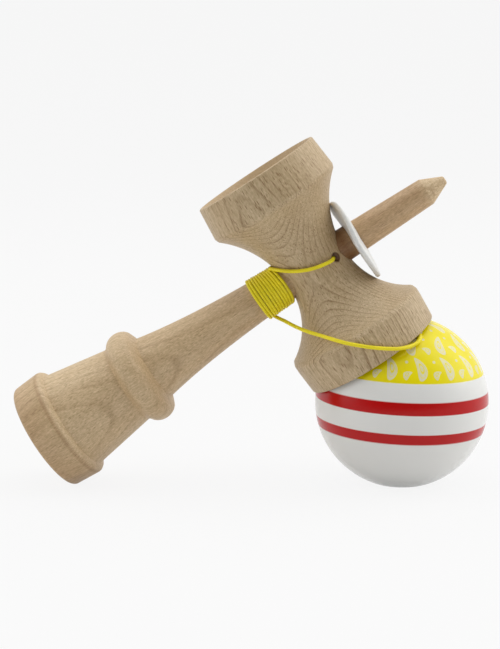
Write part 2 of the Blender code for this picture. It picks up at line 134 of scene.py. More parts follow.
# Ball
FOOT_RADIUS = 0.0102
FOOT_INNER_RADIUS = 0.0092
SPIKE_BORE_RADIUS = 0.0082
SPIKE_BORE_BEVEL = 0.0022
SPIKE_BORE_DEPTH = 0.0395
SPIKE_BORE_CONE = 0.0025
STRING_HOLE_RADIUS = 0.0015
STRING_MOUTH_RADIUS = 0.0034
STRING_MOUTH_DEPTH = 0.0026

# Washer, bead and knots
WASHER_PLACE = 0.0155
WASHER_SAG = 0.0005
WASHER_RADIUS = 0.0146
WASHER_HOLE_RADIUS = 0.0062
WASHER_HUB = 0.0026
WASHER_BACK = 0.0004
WASHER_RIM = 0.0017
WASHER_DOME_POWER = 1.6
WASHER_WARP = radians(10)
BEAD_RADIUS = 0.0045
BEAD_HEIGHT = 0.0066
BEAD_HOLE_RADIUS = 0.0009
BEAD_END_RADIUS = 0.0024
PIECE_GAP = 0.0003
STOPPER_KNOT_SIZE = (0.0019, 0.0015)
ANCHOR_KNOT_SIZE = (0.00165, 0.00165)
ANCHOR_KNOT_PLACE = Vector((0.0079, -0.0036, -0.001))
KNOT_TIGHTNESS = 0.8
KNOT_LOOPS = (0.64, 0.36)
KNOT_POINTS = 96

# Cord, in the cross piece's frame: along the handle, away from the viewer, towards the small cup. The two
# routes are in tenths of a millimetre
ROUTE_UNIT = 0.0001
LEAD_ROUTE = (
    (71, -54, -10), (68, -72, -10), (67, -90, -10), (63, -104, -10), (54, -115, -9), (37, -123, -6),
    (12, -127, -1), (-22, -125, 9), (-54, -116, 23), (-83, -99, 39), (-109, -75, 56), (-128, -45, 69),
    (-135, -29, 73),
)
TAIL_ROUTE = (
    (-222, 58, -56), (-215, 30, -79), (-206, -2, -89), (-190, -35, -106), (-173, -68, -128),
    (-155, -101, -148), (-134, -133, -169), (-110, -166, -190), (-86, -199, -211), (-62, -232, -232),
    (-38, -255, -253), (-13, -259, -276), (11, -258, -298), (37, -254, -320), (63, -247, -341),
    (91, -238, -361), (113, -225, -373), (136, -204, -384), (156, -186, -387), (171, -165, -382),
    (173, -146, -372), (173, -135, -363), (171, -94, -338), (168, -57, -321), (167, -38, -315),
)
WINDING_FIRST = -0.0131
WINDING_LAST = -0.0231
POINTS_PER_TURN = 60
WINDING_KEPT = slice(2, None, 4)
WINDING_BOW = 0.0021
WINDING_STRAY = 0.00006
WINDING_WAVES = (0.37, 0.91)
BALL_BEND_RADIUS = 0.0028
BALL_BEND_HEIGHT = 0.02835
BALL_BEND_FROM = radians(-79)
BALL_BEND_POINTS = 5
CORD_POINT_SPACING = 0.0005
CORD_SIDES = 12
CORD_UV = "along_and_around"
CURVE_PARTS = 24

# Beech, in millimetres. A layer of grain has how far it is drawn out, how fine it is and how strong
GRAIN_LAYERS = ((0.07, 0.75, 0.16), (0.12, 1.5, 0.48), (0.28, 3.2, 0.9))
GRAIN_GLOSS = 0.25
FLECK_DENT = 0.6
FLECK_CORE = ((0.17, 1.0), (0.36, 0.0))
FLECK_STRENGTH = ((0.3, 0.0), (0.68, 1.0))
RING_WARP = 3.0
RING_LINE = ((0.0, 0.0), (0.45, 0.08), (0.72, 0.28), (0.87, 1.0), (0.93, 1.0), (1.0, 0.0))
RING_PATCHES = ((0.35, 0.25), (0.65, 0.95))
WARM_PATCHES = ((0.4, 0.0), (0.7, 0.7))
HOLLOW_SHARE = 0.6
# Edge of the painted shade patch by the cord's hole
HOLE_SHADE_EDGE = ((0.46, 1.0), (0.58, 0.0))
HANDLE_PITH = (-11.0, 63.0, 0.0)
CUP_PITH = (-32.0, -88.0, 0.0)
BEAD_PITH = (9.0, 4.0, 0.0)

# How much of the grain's light and dark each of red, green and blue takes up
SHADE_POWERS = (0.9, 1.05, 1.4)

# Tints along the handle, as a share of its length from its base
# Some stops are painted shade: the darker foot and lip, the two crease stops, and the stub stop
HANDLE_TINTS = (
    (0.0, "spike"), (0.054, "grip"), (0.06, "crease_shade"), (0.066, "pale"), (0.204, "pale"), (0.216, "grip"),
    (0.228, "pale"), (0.42, "grip"), (0.63, "grip"), (0.755, "stub_shade"), (0.785, "spike"), (0.94, "spike"),
    (0.96, "pale"),
)

# Drawing on the ball's cap, in millimetres up the ball's side from its middle: rows of drops (height, count,
# turn, tilt, half length and half width), rows of dots (height, count, turn) and the rings of paint in a drop
CAP_DROPS = (
    (17.4, 16, 0.1, 0.26, (4.5, 1.65)),
    (15.2, 16, 0.6, -0.7, (1.8, 1.1)),
    (26.4, 12, 0.45, -0.26, (4.2, 1.6)),
    (24.4, 12, 0.95, 0.7, (1.7, 1.05)),
    (34.6, 8, 0.2, 0.26, (3.3, 1.4)),
)
CAP_DOTS = ((19.6, 16, 0.62), (29.0, 12, 0.97), (33.4, 8, 0.7), (40.6, 8, 0.45))
DROP_RINGS = ((0.0, 0.85), (0.22, 0.85), (0.3, 0.1), (0.42, 0.1), (0.5, 0.95), (0.66, 0.8), (0.74, 0.35),
              (0.82, 0.95), (0.92, 0.95), (1.0, 0.0))
DROP_TAPER = -0.35
DROP_BEND = 0.8
DOT_EDGE = ((0.45, 0.85), (0.6, 0.0))
PAINT_EDGE = 0.001

# Washer's plastic and the cord's braid
WASHER_GREY = (0.8, 0.8, 0.78)
BRAID_PITCH = 0.8
BRAID_GROOVES = ((0.0, 0.35), (0.75, 0.0))
BRAID_WEAR = ((0.3, 0.92), (0.7, 1.03))

# Studio. The wall of the light tent fades out towards the camera, between two Y parts of a direction. A lamp
# has its place and the size of its side
TENT_OPENING = (-0.9, 0.0)
LAMPS = {
    "key": ((0.8, 0.15, 0.6), 0.85),
    "fill": ((-0.85, -0.05, 0.45), 0.8),
    "top": ((-0.05, 0.1, 0.95), 0.95),
}
LAMPS_FACE = Vector((0, 0, 0.05))
SWEEP_SIZE = 6.0
SWEEP_BEND = 1.5
SWEEP_STEPS = 24
SWEEP_GLOW = 0.92

# Facets
FINE_STEPS = 144
SMALL_STEPS = 48
ARC_STEPS = 8
DISH_STEPS = 24
FLARE_STEPS = 32
BALL_STEPS = 96
HANDLE_ROWS = 150
SMOOTH_ANGLE = radians(40)
MM = 1000.0  # millimetres in a metre


def setting(kind, name, description, default, **limits):
    """A value that a user may change."""
    return kind(name=name, description=description, default=default, **limits)


# Kinds of settings
Number = partial(setting, FloatProperty)
Share = partial(setting, FloatProperty, min=0.0, max=1.0)
Length = partial(setting, FloatProperty, unit="LENGTH", precision=5)
Angle = partial(setting, FloatProperty, subtype="ANGLE")
Colour = partial(setting, FloatVectorProperty, subtype="COLOR", size=3, min=0.0, max=1.0)
Figure = partial(setting, FloatVectorProperty, size=3)


class BeechSettings(bpy.types.PropertyGroup):
    """Colours and figure of the turned beech."""

    light: Colour("Light wood", "Colour of each year's early wood", (0.72, 0.565, 0.37))
    dark: Colour("Dark wood", "Colour of each year's late wood", (0.40, 0.26, 0.135))
    warm: Colour("Warm wood", "Colour of the warm patches", (0.59, 0.435, 0.26))
    fleck: Colour("Flecks", "Colour of the short rays along the grain", (0.24, 0.115, 0.022))
    hollow: Colour("Hollows", "Colour of the wood inside the cups", (0.62, 0.44, 0.25))
    # Painted shade: the dark inside of the cord's hole, laid as a patch in the dent beside it
    hole_shade: Colour("Scorch", "Colour of the wood burnt in the cord's hole", (0.12, 0.052, 0.014))
    cups: Colour("Cups", "Tint of the cross piece's wood", (0.815, 0.79, 0.715))
    pale: Colour("Neck", "Tint of the handle's neck and nose", (0.95, 0.91, 0.83))
    # The grip tint also paints shade into the crease under the collar
    grip: Colour("Grip", "Tint of the handle's grip", (0.87, 0.80, 0.69))
    # Painted shade: the handle darkened in the gap between the cross piece and the washer
    stub_shade: Colour("Stub", "Tint of the handle beside the cross piece", (0.37, 0.225, 0.12))
    # The spike tint also paints shade on the foot band and lip, darker towards the base
    spike: Colour("Spike", "Tint of the handle's spike and lip", (0.80, 0.69, 0.58))
    # Painted shade in the groove above the foot band
    crease_shade: Colour("Crease", "Tint of the handle's turned crease", (0.66, 0.54, 0.42))
    cup_figure: Figure("Cup figure", "Ring spacing, strength of rings and flecks", (0.0015, 1.0, 0.95))
    handle_figure: Figure("Handle figure", "Ring spacing, strength of rings and flecks", (0.0029, 0.47, 0.48))
    fleck_width: Length("Fleck width", "Spacing of the flecks across the grain", 0.00038)
    fleck_length: Length("Fleck length", "Spacing of the flecks along the grain", 0.0052)
    roughness: Share("Roughness", "How rough the sanded wood is", 0.48)


class BallSettings(bpy.types.PropertyGroup):
    """Colours and painted bands of the lacquered ball."""

    white: Colour("White", "Colour of the ground", (0.88, 0.88, 0.85))
    red: Colour("Red", "Colour of the two bands", (0.55, 0.002, 0.002))
    yellow: Colour("Yellow", "Colour of the cap", (0.93, 0.80, 0.002))
    motif: Colour("Motif", "Colour of the drops on the cap", (0.82, 0.79, 0.60))
    radius: Length("Radius", "Radius of the ball", 0.030)
    edges: setting(
        FloatVectorProperty, "Painted edges", "Heights of the bands' edges from the middle, the lowest first",
        (-0.00889, -0.00531, 0.00130, 0.00559, 0.01166), size=5, unit="LENGTH", precision=5
    )
    band_lean: Angle("Band lean", "Lean of the painted axis", radians(2.5))
    roughness: Share("Roughness", "How rough the lacquer is", 0.20)


class CordSettings(bpy.types.PropertyGroup):
    """Size and colour of the cord."""

    diameter: Length("Diameter", "Thickness of the cord", 0.0013)
    wound_diameter: Length("Wound diameter", "Thickness where it is drawn tight", 0.00104)
    turns: Number("Turns", "Turns of cord on the grip", 11.25, min=1.5)
    colour: Colour("Colour", "Colour of the cord's strands", (1.0, 0.86, 0.025))
    groove: Colour("Groove", "Colour between the cord's strands", (0.76, 0.62, 0.018))
    strands: setting(IntProperty, "Strands", "Strands round the braid each way", 6, min=2)


class StageSettings(bpy.types.PropertyGroup):
    """Camera and light."""

    yaw: Angle("Yaw", "How far the camera stands round towards the spike", radians(0.9))
    pitch: Angle("Pitch", "How far the camera looks down", radians(9.2))
    roll: Angle("Roll", "How far the camera is turned", radians(-0.48))
    distance: Length("Distance", "From the camera to its target", 0.54264)
    lens: Number("Lens", "Focal length in millimetres", 87.09)
    target: setting(
        FloatVectorProperty, "Target", "Point that the camera looks at", (-0.00017, 0, 0.05552), subtype="XYZ"
    )
    background: Share("Background", "Brightness of the floor and backdrop", 0.965)
    bounce: Share("Bounce", "Light that the floor gives back to the toy", 0.80)
    tent: Share("Tent", "Light from the wall of the white tent", 1.0)
    opening: Share("Opening", "Light from the tent's open side", 0.14)
    key: Number("Key", "Power of the lamp at the right, in watts", 2.6)
    fill: Number("Fill", "Power of the lamp at the left, in watts", 0.7)
    top: Number("Top", "Power of the lamp overhead, in watts", 2.8)


class Paint:
    """Builds the nodes of a material or of the world, from their coordinates to their output."""

    def __init__(self, owner):
        owner.use_nodes = True
        self.owner = owner
        self.nodes = owner.node_tree.nodes

    def feed(self, socket, value):
        """Links a socket to another node's output, or sets its value."""
        if isinstance(value, bpy.types.NodeSocket):
            self.owner.node_tree.links.new(value, socket)
        else:
            socket.default_value = opaque(value) if socket.type == "RGBA" else value

    def add(self, kind, inputs=None, **settings):
        """A node with its settings made and its inputs fed, by name or number."""
        node = self.nodes.new(kind)
        for key, value in settings.items():
            setattr(node, key, value)
        for key, value in (inputs or {}).items():
            self.feed(node.inputs[key], value)
        return node

    def surface(self, inputs):
        """The material, with these inputs of its shader fed."""
        for key, value in inputs.items():
            self.feed(self.nodes["Principled BSDF"].inputs[key], value)
        return self.owner

    def show(self, output, share, first, second):
        """Sends a mix of two nodes' shaders to the output."""
        mix = self.add("ShaderNodeMixShader", {0: share, 1: first.outputs[0], 2: second.outputs[0]})
        self.feed(self.nodes[output].inputs["Surface"], mix.outputs[0])

    def math(self, operation, first, second=0.0, third=0.0):
        """Result of a sum on numbers."""
        inputs = {0: first, 1: second, 2: third}
        return self.add("ShaderNodeMath", inputs, operation=operation).outputs[0]

    def times(self, first, second):
        """Product of two numbers."""
        return self.math("MULTIPLY", first, second)

    def hypot(self, first, second):
        """Length of the long side over two short sides at a right angle."""
        return self.math("SQRT", self.math("ADD", self.times(first, first), self.times(second, second)))

    def vector(self, operation, first, second=(0.0, 0.0, 0.0)):
        """Result of a sum on vectors, which is a number for a length or a distance."""
        node = self.add("ShaderNodeVectorMath", {0: first, 1: second}, operation=operation)
        return node.outputs["Value" if operation in ("LENGTH", "DISTANCE") else "Vector"]

    def placed(self, matrix):
        """The piece's own coordinates in millimetres, in the frame of the given matrix."""
        inputs = {"Location": matrix.to_translation(), "Rotation": matrix.to_euler()}
        inputs |= {"Vector": self.add("ShaderNodeTexCoord").outputs["Object"], "Scale": (1 / MM,) * 3}
        return self.add("ShaderNodeMapping", inputs, vector_type="TEXTURE").outputs["Vector"]

    def split(self, vector):
        """The three numbers of a vector."""
        return self.add("ShaderNodeSeparateXYZ", {"Vector": vector}).outputs

    def noise(self, place, scale, detail, squeeze=1.0):
        """Smooth noise about 0.5, drawn out along Z where it is squeezed."""
        if squeeze != 1.0:
            place = self.vector("MULTIPLY", place, (1.0, 1.0, squeeze))
        inputs = {"Vector": place, "Scale": scale, "Detail": detail}
        return self.add("ShaderNodeTexNoise", inputs).outputs["Fac"]

    def ramp(self, value, stops, interpolation="LINEAR"):
        """A colour looked up along a row of (place, colour) stops."""
        node = self.add("ShaderNodeValToRGB", {"Fac": value})
        node.color_ramp.interpolation = interpolation
        marks = node.color_ramp.elements
        while len(marks) < len(stops):
            marks.new(1.0)
        for mark, (place, colour) in zip(marks, stops):
            mark.position = place
            mark.color = opaque(colour)
        return node.outputs["Color"]

    def mix(self, share, first, second, blend="MIX"):
        """One colour laid over another."""
        inputs = {0: share, 6: first, 7: second}
        return self.add("ShaderNodeMix", inputs, data_type="RGBA", blend_type=blend).outputs[2]

    def bump(self, height, strength, distance):
        """Way that the surface faces, with a small relief."""
        inputs = {"Height": height, "Strength": strength, "Distance": distance}
        return self.add("ShaderNodeBump", inputs).outputs["Normal"]


def opaque(colour):
    """A colour, or a number as a grey, with its opacity."""
    return (*colour, 1.0) if hasattr(colour, "__len__") else (colour, colour, colour, 1.0)


def new_paint(name):
    """The nodes of a new material."""
    return Paint(bpy.data.materials.new(name))


def shares(steps):
    """Even shares from 0 to 1, both included."""
    return [i / steps for i in range(steps + 1)]


def arc(centre, radii, start, end, steps):
    """Points (radius, height) of an elliptical arc between two angles in degrees."""
    angles = [radians(start + (end - start) * share) for share in shares(steps)]
    return [(centre[0] + radii[0] * cos(angle), centre[1] + radii[1] * sin(angle)) for angle in angles]


def dish_sphere(mouth_radius, mouth_height, bottom_height):
    """Radius and middle height of the sphere that a hollow follows."""
    depth = mouth_height - bottom_height
    radius = (mouth_radius**2 + depth**2) / (2 * abs(depth))
    return radius, bottom_height + copysign(radius, depth)


def dish(mouth_radius, mouth_height, bottom_height):
    """Points of a spherical hollow from its bottom on the axis to its mouth."""
    radius, centre = dish_sphere(mouth_radius, mouth_height, bottom_height)
    side = copysign(1.0, mouth_height - bottom_height)
    mouth = side * (degrees(asin(mouth_radius / radius)) - 90)
    return arc((0.0, centre), (radius, radius), -90 * side, mouth, DISH_STEPS)


def rounded(corners):
    """Points of an outline given as (radius, height, round), with each corner rounded by an arc."""
    points = []
    for i, (radius, height, size) in enumerate(corners):
        here = Vector((radius, height))
        if size == 0 or i in (0, len(corners) - 1):
            points.append(tuple(here))
            continue
        back = (Vector(corners[i - 1][:2]) - here).normalized()
        ahead = (Vector(corners[i + 1][:2]) - here).normalized()
        half = back.angle(ahead) / 2
        reach = size / tan(half)
        centre = here + (back + ahead).normalized() * size / sin(half)
        start, end = here + back * reach - centre, here + ahead * reach - centre
        points += [tuple(centre + start.slerp(end, share).normalized() * size) for share in shares(ARC_STEPS)]
    return points


def soft_max(first, second, width):
    """The larger of two radii, with a fillet of the given width where they meet."""
    return max(first, second) + max(width - abs(first - second), 0.0) ** 2 / (4 * width)


def grip_radius(height):
    """Radius of the grip and of the tenon at a height above the base."""
    return GRIP_LEAST_RADIUS + GRIP_SWELL * exp(-(height - GRIP_START) / GRIP_FADE)


def bulge(height, centre, half_width, inner_radius, rise):
    """Radius of a rounded band at a height, or 0 beside it."""
    share = (height - centre) / half_width
    return inner_radius + rise * sqrt(1 - share * share) if abs(share) < 1 else 0.0


def lower_radius(height):
    """Radius of the handle between the foot band and the grip, with the collar on it."""
    slope = (NECK_TOP[0] - NECK_BASE[0]) / (NECK_TOP[1] - NECK_BASE[1])
    neck = NECK_BASE[0] + (height - NECK_BASE[1]) * slope
    body = neck if height < COLLAR_HEIGHT else grip_radius(height)
    collar = bulge(height, COLLAR_HEIGHT, COLLAR_HALF_WIDTH, COLLAR_INNER_RADIUS, COLLAR_RISE)
    foot = bulge(height, FOOT_BAND_TOP, FOOT_BAND_ROUND, FOOT_BAND_RADIUS - FOOT_BAND_ROUND, FOOT_BAND_ROUND)
    return soft_max(soft_max(body, collar, COLLAR_FILLET), foot, FOOT_FILLET)


def handle_outline():
    """Outline of the handle from the nose of the spike down to the cup in its base."""
    outline = rounded([
        (0.0, HANDLE_LENGTH, 0),
        (NOSE_FLAT_RADIUS, HANDLE_LENGTH, NOSE_ROUND),
        (*NOSE_SHOULDER, SHOULDER_ROUND),
        (grip_radius(SPIKE_START), SPIKE_START, 0),
    ])
    for share in shares(HANDLE_ROWS)[1:]:
        height = SPIKE_START + (FOOT_BAND_TOP - SPIKE_START) * share
        outline.append((lower_radius(height), height))
    outline += arc((LIP_RADIUS - LIP_ROUND, LIP_ROUND), (LIP_ROUND, LIP_ROUND), 0, -90, ARC_STEPS)
    outline.append((LIP_RADIUS - LIP_ROUND - LIP_FLAT, 0.0))
    return outline + dish(BASE_CUP_RADIUS, LIP_FLAT / 2, BASE_CUP_DEPTH)[::-1]


def flare(band_radius, end_height):
    """Points of the hollow flare, a round arc from the waist to just short of a band's edge."""
    rise = band_radius - WAIST_RADIUS - BAND_EDGE_ROUND / 2
    run = end_height - WAIST_HEIGHT
    radius = (rise**2 + run**2) / (2 * rise)
    end = 180 - degrees(asin(run / radius))
    return arc((WAIST_RADIUS + radius, WAIST_HEIGHT), (radius, radius), 180, end, FLARE_STEPS)


def hollow(cup):
    """A cup's hollow, as its mouth's radius and the heights of its mouth and of its bottom."""
    side = copysign(1.0, cup.rim[1])
    return cup.mouth, cup.rim[1] - side * MOUTH_ROUND, cup.rim[1] - side * cup.depth


def cup_outline(cup):
    """Half of the cross piece's outline, from a cup's bottom over its rim and its band to the waist."""
    inside = dish(*hollow(cup))[:-1]
    outside = flare(cup.band[-1][0], cup.flare_end)
    corners = [(cup.mouth + MOUTH_ROUND, cup.rim[1], MOUTH_ROUND), (*cup.rim, RIM_ROUND)]
    corners += [(*corner, BAND_EDGE_ROUND) for corner in cup.band]
    return inside + rounded([(*inside[-1], 0), *corners, (*outside[-1], 0)])[1:-1] + outside[::-1]


def ball_outline(radius):
    """Outline of the ball about its middle, from the cord's hole outside to the spike hole, closed."""
    foot = -sqrt(radius**2 - FOOT_RADIUS**2)
    top_angle = degrees(acos(STRING_MOUTH_RADIUS / radius))
    foot_angle = -degrees(acos(FOOT_RADIUS / radius))
    outline = arc((0.0, 0.0), (radius, radius), top_angle, foot_angle, BALL_STEPS)
    outline += rounded([
        (*outline[-1], 0),
        (FOOT_INNER_RADIUS, foot, MOUTH_ROUND),
        (SPIKE_BORE_RADIUS, foot + SPIKE_BORE_BEVEL, MOUTH_ROUND),
        (SPIKE_BORE_RADIUS, foot + SPIKE_BORE_DEPTH, 0),
    ])[1:]
    hole_top = radius - STRING_MOUTH_DEPTH
    hole_end = foot + SPIKE_BORE_DEPTH + SPIKE_BORE_CONE
    outline += [(STRING_HOLE_RADIUS, hole_end), (STRING_HOLE_RADIUS, hole_top)]
    rim = (STRING_MOUTH_RADIUS - STRING_HOLE_RADIUS, outline[0][1] - hole_top)
    return outline + arc((STRING_MOUTH_RADIUS, hole_top), rim, 180, 90, ARC_STEPS)[1:]


def washer_outline():
    """Outline of the soft washer, domed on both sides and more so towards the spike's tip, closed."""
    tip_side, back_side = [], []
    for share in shares(DISH_STEPS):
        radius = WASHER_HOLE_RADIUS + (WASHER_RADIUS - WASHER_HOLE_RADIUS) * share
        fall = share**WASHER_DOME_POWER
        tip_side.append((radius, WASHER_HUB + (WASHER_RIM - WASHER_HUB) * fall))
        back_side.append((radius, WASHER_BACK * (fall - 1)))
    rim = arc((WASHER_RADIUS, WASHER_RIM / 2), (WASHER_RIM / 3, WASHER_RIM / 2), 75, -75, ARC_STEPS)
    return tip_side + rim + back_side[::-1] + tip_side[:1]


def bead_outline():
    """Outline of the bead in the ball: a bored sphere with flattened ends, closed."""
    half = BEAD_HEIGHT / 2
    start = degrees(acos(BEAD_END_RADIUS / BEAD_RADIUS))
    stretch = half / sin(radians(start))
    side = arc((0.0, 0.0), (BEAD_RADIUS, stretch), start, -start, 2 * ARC_STEPS)
    return [(BEAD_HOLE_RADIUS, half), *side, (BEAD_HOLE_RADIUS, -half), (BEAD_HOLE_RADIUS, half)]


def drawn(name, outline):
    """A piece in edit mode that is one point drawn out along an outline in X and Z."""
    bpy.ops.mesh.primitive_plane_add(size=0.001, location=(0, 0, 0))
    piece = bpy.context.object
    piece.name = name
    piece.data.name = name
    bpy.ops.object.mode_set(mode="EDIT")
    bpy.ops.mesh.select_all(action="SELECT")
    bpy.ops.mesh.merge(type="CENTER")
    bpy.ops.transform.translate(value=(outline[0][0], 0.0, outline[0][1]))
    for here, there in zip(outline, outline[1:]):
        step = (there[0] - here[0], 0.0, there[1] - here[1])
        bpy.ops.mesh.extrude_region_move(TRANSFORM_OT_translate={"value": step})
    bpy.ops.mesh.select_all(action="SELECT")
    return piece


def turned(name, outline, matrix, steps=FINE_STEPS):
    """A turned piece: its outline is spun round Z and set in its place."""
    piece = drawn(name, outline)
    bpy.ops.mesh.spin(steps=steps, angle=tau, center=(0, 0, 0), axis=(0, 0, 1))
    bpy.ops.mesh.select_all(action="SELECT")
    bpy.ops.mesh.remove_doubles(threshold=0.000002)
    bpy.ops.mesh.normals_make_consistent(inside=False)
    bpy.ops.object.mode_set(mode="OBJECT")
    set_in_place(piece, matrix)
    return piece


def make_active(piece):
    """Selects one piece alone."""
    bpy.ops.object.select_all(action="DESELECT")
    piece.select_set(True)
    bpy.context.view_layer.objects.active = piece


def set_in_place(piece, matrix):
    """Puts a piece's place in its mesh, and shades it smooth but for its sharp edges."""
    piece.matrix_world = matrix
    make_active(piece)
    bpy.ops.object.transform_apply(location=True, rotation=True, scale=True)
    bpy.ops.object.shade_smooth_by_angle(angle=SMOOTH_ANGLE)


def cut(piece, outline, matrix):
    """Takes a turned shape out of the piece."""
    cutter = turned("cutter", outline, matrix, SMALL_STEPS)
    boolean = piece.modifiers.new("cut", "BOOLEAN")
    boolean.operation = "DIFFERENCE"
    boolean.solver = "EXACT"
    boolean.object = cutter
    make_active(piece)
    bpy.ops.object.modifier_apply(modifier=boolean.name)
    bpy.data.objects.remove(cutter, do_unlink=True)
    bpy.ops.object.shade_smooth_by_angle(angle=SMOOTH_ANGLE)


def towards_viewer(place):
    """The frame of a hole at a place on the cross piece's front, with Z towards the viewer."""
    return CUP_FRAME @ Matrix.Translation((place[0], 0.0, place[1])) @ Matrix.Rotation(pi / 2, 4, "X")


def dress(piece, material, slot, body, *nodes):
    """Gives a piece its finish, and lets it ride on a body in the place of its solids. The slot is not used.
    """
    piece.data.materials.clear()
    piece.data.materials.append(material)
    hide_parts(*nodes)
    if body:
        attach(piece, body)


def beech(name, settings, matrix, pith, figure, hollows=()):
    """Nodes of oiled beech with its grain along Z of the given frame, its coordinates and its colour."""
    paint = new_paint(name)
    place = paint.placed(matrix)
    spacing, rings, flecking = figure
    late = paint.times(growth(paint, place, spacing * MM, pith), rings)
    wood = paint.mix(late, settings.light, settings.dark)
    patch = paint.noise(place, 0.07, 2.0, 0.3)
    wood = paint.mix(paint.ramp(patch, WARM_PATCHES), wood, settings.warm)
    shade = 1.0
    for squeeze, scale, gain in GRAIN_LAYERS:
        layer = paint.noise(place, scale, 3.0, squeeze)
        shade = paint.times(shade, paint.math("MULTIPLY_ADD", layer, gain, 1 - gain / 2))
    powers = {i: paint.math("POWER", shade, power) for i, power in enumerate(SHADE_POWERS)}
    wood = paint.mix(1.0, wood, paint.add("ShaderNodeCombineXYZ", powers).outputs[0], "MULTIPLY")
    flecks = fleck_mask(paint, place, settings)
    wood = paint.mix(paint.times(flecks, flecking), wood, settings.fleck)
    for mouth in hollows:
        radius, height = dish_sphere(*mouth)
        reach = paint.vector("DISTANCE", place, (0.0, 0.0, height * MM))
        inside = paint.math("LESS_THAN", reach, (radius + MOUTH_ROUND / 3) * MM)
        wood = paint.mix(paint.times(inside, HOLLOW_SHARE), wood, settings.hollow)
    relief = paint.math("SUBTRACT", shade, paint.times(flecks, FLECK_DENT))
    paint.surface({
        "Roughness": paint.math("MULTIPLY_ADD", shade, -GRAIN_GLOSS, settings.roughness + GRAIN_GLOSS),
        "Normal": paint.bump(relief, strength=0.2, distance=0.00005),
    })
    return paint, place, wood


def growth(paint, place, spacing, pith):
    """Thin dark lines of late wood where each year's growth ends, stronger in some places."""
    wander = paint.noise(place, 0.05, 2.0, 0.35)
    from_pith = paint.vector("MULTIPLY", paint.vector("SUBTRACT", place, pith), (1.0, 1.0, 0.0))
    reach = paint.math("MULTIPLY_ADD", wander, RING_WARP, paint.vector("LENGTH", from_pith))
    year = paint.math("FRACT", paint.math("DIVIDE", reach, spacing))
    return paint.times(paint.ramp(year, RING_LINE), paint.ramp(paint.noise(place, 0.10, 1.0), RING_PATCHES))


def fleck_mask(paint, place, settings):
    """Short rays along the grain, as the middles of long thin cells, each with its own strength."""
    width = 1 / (settings.fleck_width * MM)
    length = 1 / (settings.fleck_length * MM)
    stretched = paint.vector("MULTIPLY", place, (width, width, length))
    cells = paint.add("ShaderNodeTexVoronoi", {"Vector": stretched, "Scale": 1.0})
    near = paint.ramp(cells.outputs["Distance"], FLECK_CORE, "EASE")
    return paint.times(near, paint.ramp(paint.split(cells.outputs["Color"])[0], FLECK_STRENGTH))


def handle_wood(settings):
    """Beech along the handle: pale on the neck, darker on the grip and warm on the spike, with painted shade
    at the foot, in the creases and by the cross piece.
    """
    hollows = [(BASE_CUP_RADIUS, LIP_FLAT / 2 - BASE_TO_CROSS, BASE_CUP_DEPTH - BASE_TO_CROSS)]
    grain = CUP_FRAME @ LATHE_TO_TIP
    paint, place, wood = beech("handle_beech", settings, grain, HANDLE_PITH, settings.handle_figure, hollows)
    from_base = paint.math("ADD", paint.split(place)[2], BASE_TO_CROSS * MM)
    along = paint.math("DIVIDE", from_base, HANDLE_LENGTH * MM)
    tint = paint.ramp(along, [(mark, getattr(settings, name)) for mark, name in HANDLE_TINTS])
    return paint.surface({"Base Color": paint.mix(1.0, wood, tint, "MULTIPLY")})


def cup_wood(settings):
    """Beech along the cross piece's own axis, with painted shade of the cord's hole as a dark patch beside it.
    """
    hollows = [hollow(SMALL_CUP), hollow(LARGE_CUP)]
    paint, place, wood = beech("cup_beech", settings, CUP_FRAME, CUP_PITH, settings.cup_figure, hollows)
    wood = paint.mix(1.0, wood, settings.cups, "MULTIPLY")
    # Painted shade of the cord's hole: a dark patch in the dent beside it, on the front only
    along, across = (value * MM for value in WORN_PLACE)
    from_hole = paint.vector("SUBTRACT", place, (along, 0.0, across))
    squeezed = paint.vector("MULTIPLY", from_hole, (1 / WORN_STRETCH[0], 0.0, 1 / WORN_STRETCH[1]))
    reach = paint.math("DIVIDE", paint.vector("LENGTH", squeezed), 2 * WORN_RADIUS * MM)
    in_front = paint.math("LESS_THAN", paint.split(place)[1], 0.0)
    near = paint.times(paint.ramp(reach, HOLE_SHADE_EDGE), in_front)
    return paint.surface({"Base Color": paint.mix(near, wood, settings.hole_shade)})


def bead_wood(settings):
    """Plain turned wood of the bead."""
    grain = Matrix.Translation(BALL_CENTRE)
    paint, _, wood = beech("bead_wood", settings, grain, BEAD_PITH, settings.cup_figure)
    return paint.surface({"Base Color": wood})


def lacquer(settings):
    """Gloss lacquer: a white ground, two red bands and a yellow cap with a sprinkle of drops."""
    paint = new_paint("ball_lacquer")
    place = paint.placed(Matrix.Translation(BALL_CENTRE) @ Matrix.Rotation(settings.band_lean, 4, "Y"))
    x, y, z = paint.split(place)
    radius = settings.radius * MM
    white, red = settings.white, settings.red
    bands = (white, red, white, red, white, settings.yellow)
    stops = []
    for height, below, above in zip(settings.edges, bands, bands[1:]):
        mark = 0.5 + 0.5 * height / settings.radius
        stops += [(mark - PAINT_EDGE, below), (mark + PAINT_EDGE, above)]
    colour = paint.ramp(paint.math("MULTIPLY_ADD", z, 0.5 / radius, 0.5), stops)
    angle = paint.math("ARCTAN2", y, x)
    rise = paint.times(paint.math("ARCSINE", paint.math("DIVIDE", z, radius)), radius)
    drawing = 0.0
    for height, count, turn, tilt, size in CAP_DROPS:
        across, along = in_cell(paint, angle, rise, radius, height, count, turn)
        drawing = paint.math("MAXIMUM", drawing, drop(paint, across, along, tilt, size))
    for height, count, turn in CAP_DOTS:
        reach = paint.hypot(*in_cell(paint, angle, rise, radius, height, count, turn))
        drawing = paint.math("MAXIMUM", drawing, paint.ramp(reach, DOT_EDGE))
    return paint.surface({
        "Base Color": paint.mix(drawing, colour, settings.motif),
        "Roughness": settings.roughness,
        "Specular IOR Level": 0.28,
        "Normal": paint.bump(paint.noise(place, 0.22, 2.0), strength=0.05, distance=0.0002),
    })


